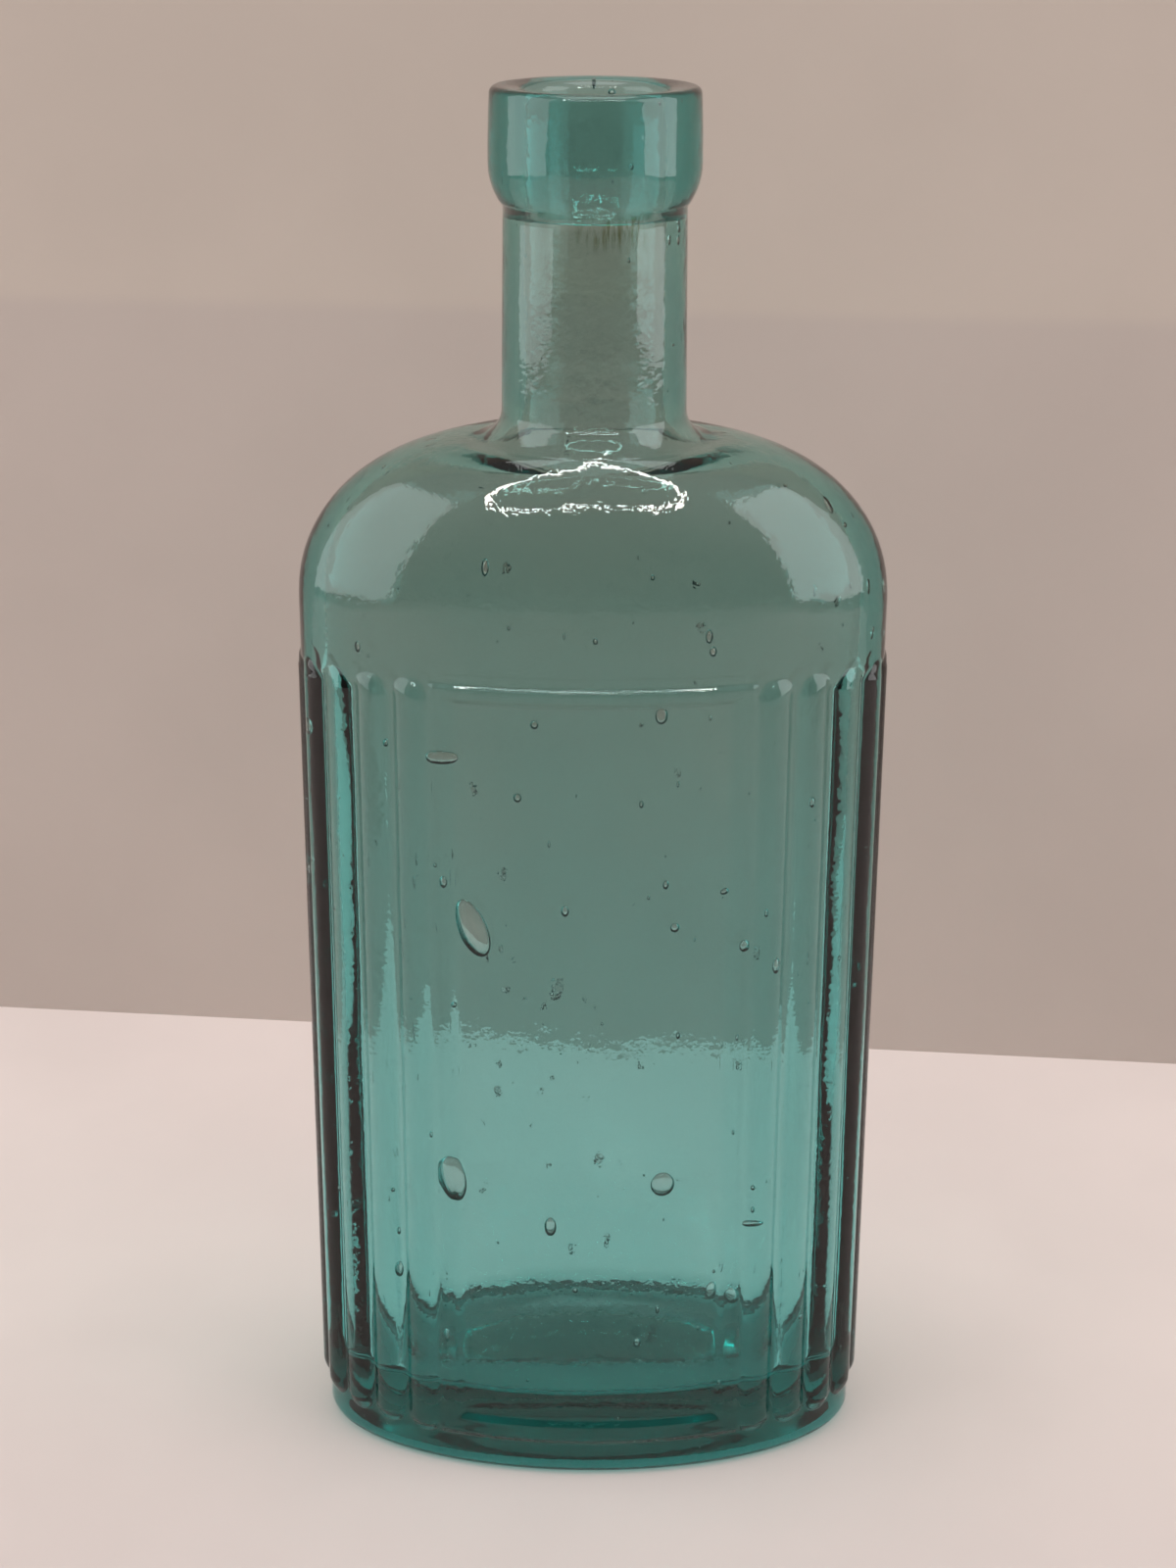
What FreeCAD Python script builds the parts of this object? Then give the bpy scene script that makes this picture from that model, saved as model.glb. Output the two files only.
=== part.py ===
"""Poison bottle: a flat oval bottle of mould-blown glass with a ribbed front and a laid-on lip.

Millimetres, +Z up. The origin is the centre of the foot, the width runs along X and the
framed front panel faces -Y. Ribs run from the panel to the mould seams, and the back is plain.
Two pieces of glass make the bottle: the body, blown in a mould together with its shoulder and
neck, and the lip, a second gather laid round the neck's end.
"""

import FreeCAD, Part
import math
import os

import Sketcher

SIZES = (
    ("total_height", 210.0, "foot to the top of the lip"),
    ("body_width", 84.6, "wall between the ribs, along X"),
    ("body_depth", 43.0, "wall between the ribs, along Y"),
    ("body_wall", 3.2, "glass thickness of the sides"),
    ("heel_radius", 2.2, "rounding where the sides meet the foot"),
    ("shoulder_rise", 23.2, "height of the rounded shoulder"),
    ("shoulder_wall", 3.0, "glass thickness at the top of the shoulder"),
    ("neck_length", 32.7, "neck from the shoulder's top to the lip"),
    ("neck_root_diameter", 26.5, "neck just above the shoulder"),
    ("neck_root_radius", 4.0, "hollow rounding between shoulder and neck, at the sides"),
    ("neck_root_reach", 1.35, "how far it reaches out from the neck in front and behind"),
    ("neck_diameter", 25.8, "neck just below the lip"),
    ("neck_end_step", 0.3, "ledge on the neck that carries the lip"),
    ("neck_end_length", 11.0, "neck end that the lip covers"),
    ("bore_diameter", 19.4, "straight bore that takes a cork"),
    ("lip_diameter", 29.7, "outside of the lip"),
    ("lip_height", 15.8, "lip from its lower edge to its top"),
    ("lip_under_height", 5.6, "height of the lip's rounded underside"),
    ("lip_foot", 0.5, "width of the lip's lower edge, on the neck's ledge"),
    ("lip_edge_radius", 1.0, "rounding of the lip's top edge"),
    ("mouth_radius", 1.4, "rounding of the bore's mouth"),
    ("base_thickness", 12.5, "glass under the floor at its rim"),
    ("floor_radius", 2.5, "rounding inside, where the floor meets the sides"),
    ("push_up_height", 3.0, "hollow under the foot, at its middle"),
    ("foot_width", 5.0, "flat ring that the bottle stands on, along its radius"),
    ("rib_height", 1.2, "ribs stand this proud of the wall"),
    ("rib_width", 5.8, "one rib across its foot"),
    ("rib_pitch", 6.3, "from one rib to the next, along the wall"),
    ("ribs_each_way", 4.0, "ribs between the one on each mould seam and the panel"),
    ("relief_bottom", 5.5, "height where the ribs and the frame begin"),
    ("relief_gap", 7.6, "plain wall between the ribs' top and the shoulder"),
    ("collar_side_step", 0.7, "plain wall above the ribs, out from the wall between them, along X"),
    ("collar_front_step", 0.15, "the same along Y"),
    ("collar_overlap", 3.4, "the plain wall begins this far below the ribs' top"),
    ("collar_slope", 2.0, "height over which the grooves run out into the plain wall"),
    ("frame_height", 0.6, "panel frame stands this proud of the wall"),
    ("frame_width", 45.7, "panel frame across its crest"),
    ("frame_bar", 3.0, "one upright bar of the panel frame, across its crest"),
    ("frame_rail", 4.2, "top or bottom bar of the panel frame, across its crest"),
    ("frame_draft_angle", 14.0, "slope of the frame's sides, in degrees"),
    ("frame_bury", 9.0, "how deep the frame block runs into the wall"),
    ("overrun", 2.0, "cutting tools pass the surface by this much"),
)
SHOULDER_ANGLES = tuple(range(0, 91, 10))
ROUND_ANGLES = tuple(range(0, 91, 15))
QUARTER_TURN_STEPS = 4000
FULL_TURN = 360.0
CEILING_SHARE = 0.5
UP = FreeCAD.Vector(0, 0, 1)

doc = FreeCAD.newDocument("poison_bottle")
sheet = doc.addObject("Spreadsheet::Sheet", "Sizes")


def fill_sheet():
    """Writes every driving size to its own cell, with the size's name as the cell's alias."""
    for row, (name, value, meaning) in enumerate(SIZES, 1):
        sheet.set(f"A{row}", meaning)
        sheet.set(f"B{row}", str(value))
        sheet.setAlias(f"B{row}", name)
    doc.recompute()


def measure(formula):
    """The present value of a formula in the sheet's sizes."""
    return float(sheet.evalExpression(formula))


def bind(item, **formulas):
    """Ties properties of an object to formulas in the sheet's sizes."""
    for name, formula in formulas.items():
        item.setExpression(name, formula)
    return item


def raise_to(item, formula):
    """Ties an object's height above the foot to a formula."""
    item.setExpression("Placement.Base.z", formula)
    return item


# Ovals and what is lofted or drawn up from them


def add_oval(name, half_width, half_depth, height):
    """A level oval outline. Its half sizes and its height are formulas."""
    oval = doc.addObject("Part::Ellipse", name)
    bind(oval, MajorRadius=half_width, MinorRadius=half_depth)
    return raise_to(oval, height)


def add_loft(name, stations):
    """A solid that runs smoothly through level ovals, from the lowest to the highest."""
    loft = doc.addObject("Part::Loft", name)
    loft.Sections = [add_oval(f"{name}_oval_{i}", *station) for i, station in enumerate(stations)]
    loft.Solid = True
    return loft


def add_oval_block(name, half_width, half_depth, bottom, top):
    """An upright block of oval plan between two heights."""
    block = doc.addObject("Part::Extrusion", name)
    block.Base = add_oval(f"{name}_oval", half_width, half_depth, bottom)
    block.DirMode = "Custom"
    block.Dir = UP
    block.Solid = True
    return bind(block, LengthFwd=f"({top}) - ({bottom})")


def rounded_rim(half_width, half_depth, radius, bottom):
    """Stations of a quarter-round rim that grows from its flat bottom to the full oval."""
    for angle in ROUND_ANGLES:
        inset = f"{radius} * (1 - sin({angle}))"
        yield (
            f"{half_width} - {inset}",
            f"{half_depth} - {inset}",
            f"{bottom} + {radius} * (1 - cos({angle}))",
        )


def ceiling_dome(half_width, half_depth, top_radius, start, rise):
    """Stations of a quarter-oval dome that turns from an oval into a circle."""
    for angle in SHOULDER_ANGLES:
        yield (
            f"{top_radius} + ({half_width} - {top_radius}) * cos({angle})",
            f"{top_radius} + ({half_depth} - {top_radius}) * cos({angle})",
            f"{start} + {rise} * sin({angle})",
        )


# Turned pieces


class Outline:
    """A closed outline of lines and arcs in a body's XZ plane, tied to the sheet's sizes."""

    def __init__(self, body, name):
        plane = next(o for o in body.Origin.OriginFeatures if o.Role == "XZ_Plane")
        self.sketch = body.newObject("Sketcher::SketchObject", name)
        self.sketch.AttachmentSupport = [(plane, "")]
        self.sketch.MapMode = "FlatFace"

    def hold(self, kind, geometry, end, formula):
        """Ties one coordinate of an edge's end point to a formula."""
        if abs(measure(formula)) < Part.Precision.confusion():
            axis = -2 if kind == "DistanceX" else -1
            self.sketch.addConstraint(Sketcher.Constraint("PointOnObject", geometry, end, axis))
            return
        number = self.sketch.addConstraint(
            Sketcher.Constraint(kind, -1, 1, geometry, end, measure(formula))
        )
        self.sketch.setExpression(f"Constraints[{number}]", formula)

    def draw(self, corners, arcs):
        """Draws the outline through its corners, which are pairs of formulas.

        arcs gives, by the number of the corner that it starts from, an arc's radius as a
        formula and +1 or -1: an arc turns to the left or to the right on its way.
        """
        points = [FreeCAD.Vector(measure(x), measure(z), 0) for x, z in corners]
        starts, ends = [], []
        for number, start in enumerate(points):
            stop = points[(number + 1) % len(points)]
            if number not in arcs:
                self.sketch.addGeometry(Part.LineSegment(start, stop))
                starts.append(1)
                ends.append(2)
                continue
            radius, turn = arcs[number]
            self.sketch.addGeometry(self.arc(start, stop, measure(radius), turn))
            starts.append(1 if turn > 0 else 2)
            ends.append(2 if turn > 0 else 1)
        for number, (x, z) in enumerate(corners):
            before = number - 1 if number else len(corners) - 1
            joint = Sketcher.Constraint("Coincident", before, ends[before], number, starts[number])
            self.sketch.addConstraint(joint)
            self.hold("DistanceX", number, starts[number], x)
            self.hold("DistanceY", number, starts[number], z)
        for number, (radius, _) in arcs.items():
            held = self.sketch.addConstraint(
                Sketcher.Constraint("Radius", number, measure(radius))
            )
            self.sketch.setExpression(f"Constraints[{held}]", radius)
        return self.sketch

    @staticmethod
    def arc(start, stop, radius, turn):
        """The arc of under a half circle from start to stop that turns left (+1) or right (-1)."""
        chord = stop - start
        middle = (start + stop) * 0.5
        reach = math.sqrt(max(radius**2 - (chord.Length / 2) ** 2, 0.0))
        left = FreeCAD.Vector(-chord.y, chord.x, 0).normalize()
        centre = middle + left * (reach * turn)
        first, last = (start, stop) if turn > 0 else (stop, start)
        angles = [math.atan2(p.y - centre.y, p.x - centre.x) for p in (first, last)]
        return Part.ArcOfCircle(Part.Circle(centre, UP, radius), *angles)


def add_turned(name, corners, arcs):
    """A body turned about the bottle's axis from an outline in the XZ plane."""
    body = doc.addObject("PartDesign::Body", name)
    sketch = Outline(body, f"{name}_outline").draw(corners, arcs)
    turned = body.newObject("PartDesign::Revolution", f"{name}_turned")
    turned.Profile = sketch
    turned.ReferenceAxis = (sketch, ["V_Axis"])
    turned.Angle = FULL_TURN
    body.Tip = turned
    return body


# The body's outside

HALF_WIDTH = "Sizes.body_width / 2"
HALF_DEPTH = "Sizes.body_depth / 2"
LIP_BOTTOM = "(Sizes.total_height - Sizes.lip_height)"
SHOULDER_TOP = f"({LIP_BOTTOM} - Sizes.neck_length)"
SHOULDER_START = f"({SHOULDER_TOP} - Sizes.shoulder_rise)"
RELIEF_TOP = f"({SHOULDER_START} - Sizes.relief_gap)"
COLLAR_FOOT = f"({RELIEF_TOP} - Sizes.collar_overlap)"
COLLAR_EDGE = f"({COLLAR_FOOT} + Sizes.collar_slope)"
COLLAR_HALF_WIDTH = "(Sizes.body_width / 2 + Sizes.collar_side_step)"
COLLAR_HALF_DEPTH = "(Sizes.body_depth / 2 + Sizes.collar_front_step)"
ROOT_TOP_RADIUS = "Sizes.neck_root_diameter / 2"
ROOT_TOP = f"({SHOULDER_TOP} + Sizes.neck_root_radius)"
ROOT_HALF_WIDTH = "(Sizes.neck_root_diameter / 2 + Sizes.neck_root_radius)"
ROOT_HALF_DEPTH = "(Sizes.neck_root_diameter / 2 + Sizes.neck_root_reach)"
NECK_END_RADIUS = "(Sizes.neck_diameter / 2 - Sizes.neck_end_step)"
NECK_END = f"({LIP_BOTTOM} + Sizes.neck_end_length)"


def add_half(name, whole, side):
    """The front half (side -1) or the back half (side 1) of a solid between heel and shoulder."""
    reach, depth = f"({COLLAR_HALF_WIDTH} + Sizes.overrun)", f"({COLLAR_HALF_DEPTH} + Sizes.overrun)"
    room = bind(
        doc.addObject("Part::Box", f"{name}_room"),
        Length=f"2 * {reach}",
        Width=depth,
        Height=SHOULDER_START,
    )
    room.setExpression("Placement.Base.x", f"-{reach}")
    if side < 0:
        room.setExpression("Placement.Base.y", f"-{depth}")
    half = doc.addObject("Part::Common", name)
    half.Base = whole
    half.Tool = room
    return half


def add_front_wall():
    """The wall between the ribs, and the plain wall above it that the grooves run out into."""
    grooves = add_oval_block(
        "grooves", HALF_WIDTH, HALF_DEPTH, "Sizes.heel_radius", SHOULDER_START
    )
    run_out = add_loft(
        "run_out",
        [
            (HALF_WIDTH, HALF_DEPTH, COLLAR_FOOT),
            (COLLAR_HALF_WIDTH, COLLAR_HALF_DEPTH, COLLAR_EDGE),
        ],
    )
    collar = add_oval_block(
        "collar", COLLAR_HALF_WIDTH, COLLAR_HALF_DEPTH, COLLAR_EDGE, SHOULDER_START
    )
    whole = doc.addObject("Part::MultiFuse", "front_oval")
    whole.Shapes = [grooves, run_out, collar]
    return add_half("front_wall", whole, -1)


def add_back_wall():
    """The plain back, which widens evenly from the heel to the shoulder."""
    whole = add_loft(
        "back_oval",
        [
            (HALF_WIDTH, HALF_DEPTH, "Sizes.heel_radius"),
            (COLLAR_HALF_WIDTH, COLLAR_HALF_DEPTH, SHOULDER_START),
        ],
    )
    return add_half("back_wall", whole, 1)


def shoulder_stations():
    """Ovals of the shoulder: a quarter oval to each side, and a flatter arc in front and behind."""
    run, rise = f"({COLLAR_HALF_DEPTH} - {ROOT_HALF_DEPTH})", "Sizes.shoulder_rise"
    radius = f"(({run} ^ 2 + {rise} ^ 2) / (2 * {run}))"
    for angle in SHOULDER_ANGLES:
        climb = f"({rise} * sin({angle}))"
        yield (
            f"{ROOT_HALF_WIDTH} + ({COLLAR_HALF_WIDTH} - {ROOT_HALF_WIDTH}) * cos({angle})",
            f"{COLLAR_HALF_DEPTH} - {radius} + sqrt({radius} ^ 2 - {climb} ^ 2)",
            f"{SHOULDER_START} + {climb}",
        )


def root_stations():
    """Ovals of the hollow root, which goes over into the round neck."""
    for angle in ROUND_ANGLES:
        yield (
            f"{ROOT_TOP_RADIUS} + Sizes.neck_root_radius * (1 - sin({angle}))",
            f"{ROOT_TOP_RADIUS} + Sizes.neck_root_reach * cos({angle}) ^ 2",
            f"{SHOULDER_TOP} + Sizes.neck_root_radius * (1 - cos({angle}))",
        )


def add_smooth_form():
    """Heel, sides, shoulder and the neck's root, before the ribs and the frame are laid on."""
    heel = add_loft(
        "heel", rounded_rim(HALF_WIDTH, HALF_DEPTH, "Sizes.heel_radius", "0")
    )
    shoulder = add_loft("shoulder", shoulder_stations())
    root = add_loft("neck_root", root_stations())
    return [heel, add_front_wall(), add_back_wall(), shoulder, root]


def add_neck():
    """The neck above its root, with its ledge for the lip and the end that the lip covers."""
    return add_turned(
        "neck",
        [
            ("0", ROOT_TOP),
            (ROOT_TOP_RADIUS, ROOT_TOP),
            ("Sizes.neck_diameter / 2", LIP_BOTTOM),
            (NECK_END_RADIUS, LIP_BOTTOM),
            (NECK_END_RADIUS, NECK_END),
            ("0", NECK_END),
        ],
        {},
    )


def oval_angle(arc_length, half_width, half_depth):
    """Angle on an oval at a distance along it from its +X end, both counted towards +Y."""
    step = math.pi / 2 / QUARTER_TURN_STEPS
    angle, travelled = 0.0, 0.0
    while travelled < abs(arc_length):
        middle = angle + step / 2
        travelled += step * math.hypot(half_width * math.sin(middle), half_depth * math.cos(middle))
        angle += step
    return math.copysign(angle, arc_length)


def add_rib(name, arc_length, side):
    """One upright rib with rounded ends, at a distance along the wall from the mould seam.

    The rib is part of a round bar that lies mostly inside the wall.
    """
    half_width, half_depth = measure(HALF_WIDTH), measure(HALF_DEPTH)
    angle = oval_angle(arc_length, half_width, half_depth)
    foot = FreeCAD.Vector(half_width * math.cos(angle), half_depth * math.sin(angle), 0)
    outward = FreeCAD.Vector(math.cos(angle) / half_width, math.sin(angle) / half_depth, 0)
    bar_radius = "(Sizes.rib_width ^ 2 / 4 + Sizes.rib_height ^ 2) / (2 * Sizes.rib_height)"
    sunk = measure(f"{bar_radius} - Sizes.rib_height")
    axis = foot - outward.normalize() * sunk
    axis.x *= side
    low = "Sizes.relief_bottom + Sizes.rib_width / 2"
    high = f"{RELIEF_TOP} - Sizes.rib_width / 2"
    bar = bind(
        doc.addObject("Part::Cylinder", f"{name}_bar"),
        Radius=bar_radius,
        Height=f"({high}) - ({low})",
    )
    low_end = bind(doc.addObject("Part::Sphere", f"{name}_low_end"), Radius=bar_radius)
    high_end = bind(doc.addObject("Part::Sphere", f"{name}_high_end"), Radius=bar_radius)
    for item, height in ((bar, low), (low_end, low), (high_end, high)):
        item.Placement.Base = axis
        raise_to(item, height)
    rib = doc.addObject("Part::MultiFuse", name)
    rib.Shapes = [bar, low_end, high_end]
    return rib


def add_ribs():
    """The upright ribs on both sides of the panel, the last of them on the mould seams."""
    each_way = round(measure("Sizes.ribs_each_way"))
    pitch = measure("Sizes.rib_pitch")
    return [
        add_rib(f"rib_{hand}_{number + each_way + 1}", number * pitch, side)
        for hand, side in (("right", 1), ("left", -1))
        for number in range(-each_way, 1)
    ]


def add_frame_block(name, half_width, low, high, widening):
    """A block across the front wall, tapered along Y, which the panel frame is cut from.

    The formulas give its size at the crest of the frame. It widens inwards by the frame's
    draft where widening is +1, and narrows where it is -1.
    """
    crest = f"({HALF_DEPTH} + Sizes.frame_height)"
    spread = f"{widening} * tan(Sizes.frame_draft_angle)"
    outer, inner = "Sizes.overrun", "Sizes.frame_bury"
    block = doc.addObject("Part::Wedge", name)
    return bind(
        block,
        Ymin=f"-({crest} + {outer})",
        Ymax=f"-({crest} - {inner})",
        Xmin=f"-({half_width} - {outer} * {spread})",
        Xmax=f"{half_width} - {outer} * {spread}",
        Zmin=f"{low} + {outer} * {spread}",
        Zmax=f"{high} - {outer} * {spread}",
        X2min=f"-({half_width} + {inner} * {spread})",
        X2max=f"{half_width} + {inner} * {spread}",
        Z2min=f"{low} - {inner} * {spread}",
        Z2max=f"{high} + {inner} * {spread}",
    )


def add_frame(name):
    """The raised frame round the front panel, with sloping sides."""
    draft = "Sizes.frame_height * tan(Sizes.frame_draft_angle)"
    low, high = f"(Sizes.relief_bottom + {draft})", f"({RELIEF_TOP} - {draft})"
    half_width, bar, rail = "Sizes.frame_width / 2", "Sizes.frame_bar", "Sizes.frame_rail"
    ring = doc.addObject("Part::Cut", f"{name}_ring")
    ring.Base = add_frame_block(f"{name}_outside", half_width, low, high, "1")
    ring.Tool = add_frame_block(
        f"{name}_panel", f"({half_width} - {bar})", f"({low} + {rail})", f"({high} - {rail})", "-1"
    )
    crest = add_oval_block(
        f"{name}_crest",
        f"{HALF_WIDTH} + Sizes.frame_height",
        f"{HALF_DEPTH} + Sizes.frame_height",
        "0",
        SHOULDER_TOP,
    )
    frame = doc.addObject("Part::Common", name)
    frame.Base = crest
    frame.Tool = ring
    return frame


# The body's inside

INNER_HALF_WIDTH = "(Sizes.body_width / 2 - Sizes.body_wall)"
INNER_HALF_DEPTH = "(Sizes.body_depth / 2 - Sizes.body_wall)"
FLOOR_RIM_TOP = "(Sizes.base_thickness + Sizes.floor_radius)"


def add_hollow():
    """What is empty inside: the belly under its rounded ceiling, and the straight bore."""
    floor_rim = add_loft(
        "floor_rim",
        rounded_rim(
            INNER_HALF_WIDTH, INNER_HALF_DEPTH, "Sizes.floor_radius", "Sizes.base_thickness"
        ),
    )
    belly = add_oval_block(
        "belly", INNER_HALF_WIDTH, INNER_HALF_DEPTH, FLOOR_RIM_TOP, SHOULDER_START
    )
    ceiling = add_loft(
        "ceiling",
        ceiling_dome(
            INNER_HALF_WIDTH,
            INNER_HALF_DEPTH,
            f"(Sizes.bore_diameter / 2 * {CEILING_SHARE})",
            SHOULDER_START,
            "(Sizes.shoulder_rise - Sizes.shoulder_wall)",
        ),
    )
    bore = doc.addObject("Part::Cylinder", "bore")
    bind(
        bore,
        Radius="Sizes.bore_diameter / 2",
        Height=f"{NECK_END} + Sizes.overrun - {SHOULDER_START}",
    )
    raise_to(bore, SHOULDER_START)
    hollow = doc.addObject("Part::MultiFuse", "hollow")
    hollow.Shapes = [floor_rim, belly, ceiling, bore]
    swell = add_dome("floor_swell", "Sizes.base_thickness")
    hollow_over_swell = doc.addObject("Part::Cut", "hollow_over_swell")
    hollow_over_swell.Base = hollow
    hollow_over_swell.Tool = swell
    return hollow_over_swell


def add_dome(name, height):
    """The flat oval dome of the push-up, centred on the axis at a height."""
    dome = doc.addObject("Part::Ellipsoid", name)
    bind(
        dome,
        Radius1="Sizes.push_up_height",
        Radius2=f"{HALF_WIDTH} - Sizes.heel_radius - Sizes.foot_width",
        Radius3=f"{HALF_DEPTH} - Sizes.heel_radius - Sizes.foot_width",
    )
    return raise_to(dome, height)


# The two pieces of glass


def add_bottle_body():
    """The mould-blown body, with its shoulder and neck, in one piece of glass."""
    outside = doc.addObject("Part::MultiFuse", "outside")
    outside.Shapes = add_smooth_form() + [add_neck()] + add_ribs() + [add_frame("panel_frame")]
    hollowed = doc.addObject("Part::Cut", "hollowed")
    hollowed.Base = outside
    hollowed.Tool = add_hollow()
    body = doc.addObject("Part::Cut", "bottle_body")
    body.Base = hollowed
    body.Tool = add_dome("push_up", "0")
    body.Label = "bottle_body"
    return body


def add_applied_lip():
    """The lip: a band of glass laid round the neck's end and over it, tooled to a flat top."""
    radius, bore = "Sizes.lip_diameter / 2", "Sizes.bore_diameter / 2"
    top, edge, mouth = "Sizes.total_height", "Sizes.lip_edge_radius", "Sizes.mouth_radius"
    foot_radius = f"({NECK_END_RADIUS} + Sizes.lip_foot)"
    overhang = f"({radius} - {foot_radius})"
    under_radius = f"({overhang} ^ 2 + Sizes.lip_under_height ^ 2) / (2 * {overhang})"
    lip = add_turned(
        "applied_lip",
        [
            (NECK_END_RADIUS, LIP_BOTTOM),
            (foot_radius, LIP_BOTTOM),
            (radius, f"{LIP_BOTTOM} + Sizes.lip_under_height"),
            (radius, f"{top} - {edge}"),
            (f"{radius} - {edge}", top),
            (f"{bore} + {mouth}", top),
            (bore, f"{top} - {mouth}"),
            (bore, NECK_END),
            (NECK_END_RADIUS, NECK_END),
        ],
        {1: (under_radius, 1), 3: (edge, 1), 5: (mouth, 1)},
    )
    lip.Label = "applied_lip"
    return lip


def check(pieces):
    """Stops the build if anything failed, or a piece isn't one sound solid."""
    failed = [o.Name for o in doc.Objects if {"Invalid", "Error"} & set(o.State)]
    if failed:
        raise RuntimeError(f"these objects failed: {failed}")
    for piece in pieces:
        shape = piece.Shape
        if shape.isNull() or not shape.isValid() or len(shape.Solids) != 1:
            raise RuntimeError(f"{piece.Label} isn't one sound solid")


def main():
    """Builds both pieces, checks them and writes one file for each."""
    fill_sheet()
    pieces = [add_bottle_body(), add_applied_lip()]
    doc.recompute()
    check(pieces)
    os.makedirs("parts", exist_ok=True)
    for piece in pieces:
        piece.Shape.exportStep(os.path.join("parts", f"{piece.Label}.step"))
        print(piece.Label, f"{piece.Shape.Volume / 1000:.1f} cm3", piece.Shape.BoundBox)


main()
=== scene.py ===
"""Looks of the poison bottle: a skin of aqua glass, uneven inside, with seeds and blisters in its wall.

Metres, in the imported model's frame: +Z up, the centre of the foot at the origin, the front towards -Y.
"""

import logging
import math
from dataclasses import dataclass
from enum import Enum
from functools import partialmethod

import bpy
import numpy as np
from mathutils import Euler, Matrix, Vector


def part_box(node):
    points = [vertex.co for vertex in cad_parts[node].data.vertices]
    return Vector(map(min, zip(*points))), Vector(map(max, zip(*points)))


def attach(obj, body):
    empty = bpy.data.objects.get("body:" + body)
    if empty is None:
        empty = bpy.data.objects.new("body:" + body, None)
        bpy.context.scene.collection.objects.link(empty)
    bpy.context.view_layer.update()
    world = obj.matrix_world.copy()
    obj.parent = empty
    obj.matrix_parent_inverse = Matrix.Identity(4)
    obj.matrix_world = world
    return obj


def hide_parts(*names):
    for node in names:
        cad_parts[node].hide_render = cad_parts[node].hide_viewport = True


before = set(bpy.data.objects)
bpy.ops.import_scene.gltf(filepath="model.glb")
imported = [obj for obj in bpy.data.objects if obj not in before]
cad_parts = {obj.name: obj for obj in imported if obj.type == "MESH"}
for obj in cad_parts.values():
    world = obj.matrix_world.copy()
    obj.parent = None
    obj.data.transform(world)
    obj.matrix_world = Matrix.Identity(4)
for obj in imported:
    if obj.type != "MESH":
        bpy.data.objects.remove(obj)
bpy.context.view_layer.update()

LOG = logging.getLogger("poison_bottle")
MM = 0.001
BODY = "root"
QUARTER = math.pi / 2
ROUNDING = 1e-6
Face = tuple[int, ...]
Point = tuple[float, float, float]
Colour = tuple[float, float, float, float]
Socket = bpy.types.NodeSocket

# Sockets that share their names with others on the same node, by number: those of a colour Mix node,
# and those of a Random Value node that draws plain numbers.
MIX_FIRST, MIX_SECOND, MIX_RESULT = 6, 7, 2
RANDOM_LEAST, RANDOM_MOST, RANDOM_RESULT = 2, 3, 1


def steps(start: float, stop: float, count: int) -> np.ndarray:
    """Even steps from start to stop, without the start itself."""
    return np.linspace(start, stop, count + 1)[1:]


def eased(share: float | np.ndarray) -> float | np.ndarray:
    """A share from 0 to 1 with soft ends."""
    return share * share * (3 - 2 * share)


def arc_radius(run: float, rise: float) -> float:
    """Radius of the arc that starts upright and has moved in by run at the end of its rise."""
    return (run**2 + rise**2) / (2 * run)


def along_arc(start: float, run: float, rise: float, climb: float) -> float:
    """Distance from the middle, at some climb up such an arc that begins at start."""
    radius = arc_radius(run, rise)
    return start - radius + math.sqrt(radius**2 - climb**2)


def band(low: int, high: int, around: int) -> list[Face]:
    """Faces between two rings of as many points, each ring given by the number of its first point."""
    pairs = [(j, (j + 1) % around) for j in range(around)]
    return [(low + j, low + k, high + k, high + j) for j, k in pairs]


def stand(name: str, data: bpy.types.ID) -> bpy.types.Object:
    """Adds an object with this data to the scene, at the origin."""
    made = bpy.data.objects.new(name, data)
    bpy.context.scene.collection.objects.link(made)
    return made


# Sizes


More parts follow.
